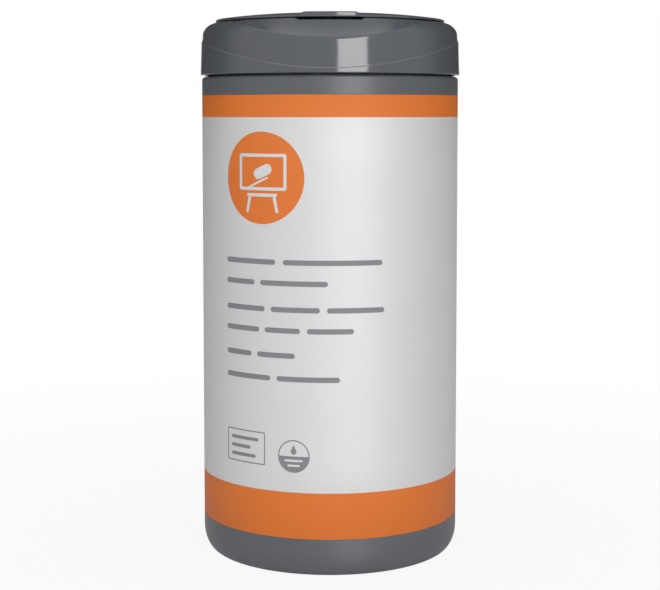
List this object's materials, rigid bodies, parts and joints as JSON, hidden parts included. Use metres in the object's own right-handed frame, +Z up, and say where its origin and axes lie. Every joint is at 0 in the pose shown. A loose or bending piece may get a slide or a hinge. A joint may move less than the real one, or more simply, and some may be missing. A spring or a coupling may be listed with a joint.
{
  "type": "canister of whiteboard wipes",
  "caption": "Tall round plastic canister of wet wipes with a push-on cap, a shallow front scoop and a hinged flip lid over a star-cut spout.",
  "frame": {"origin": "centre of the foot ring, on the surface the canister stands on", "axes": "+Z up along the canister's axis, -Y towards the front of the lid and the printed panel, +X to the right seen from the front"},
  "size_m": [0.0932, 0.0932, 0.1927],
  "materials": {
    "grey_plastic": "dark grey moulded polypropylene, satin on the tub and glossier on the cap",
    "orange_print": "orange ink on a smooth label film",
    "silver_film": "satin silver-grey label film",
    "wet_cloth": "white nonwoven, damp"
  },
  "bodies": {
    "canister": {"tub": "grey_plastic", "label_lower_band": "orange_print", "label_panel": "silver_film", "label_upper_band": "orange_print", "wipes_roll": "wet_cloth"},
    "cap": {"cap": "grey_plastic", "spout": "grey_plastic"},
    "flip_lid": {"flip_lid": "grey_plastic"}
  },
  "joints": [
    {"name": "cap_lift", "type": "slide", "parent": "canister", "child": "cap", "axis": [0, 0, 1], "range_m": [0, 0.03]},
    {"name": "lid_hinge", "type": "hinge", "parent": "cap", "child": "flip_lid", "pos_m": [0, 0.038, 0.18955], "axis": [-1, 0, 0], "range_deg": [0, 110]}
  ]
}
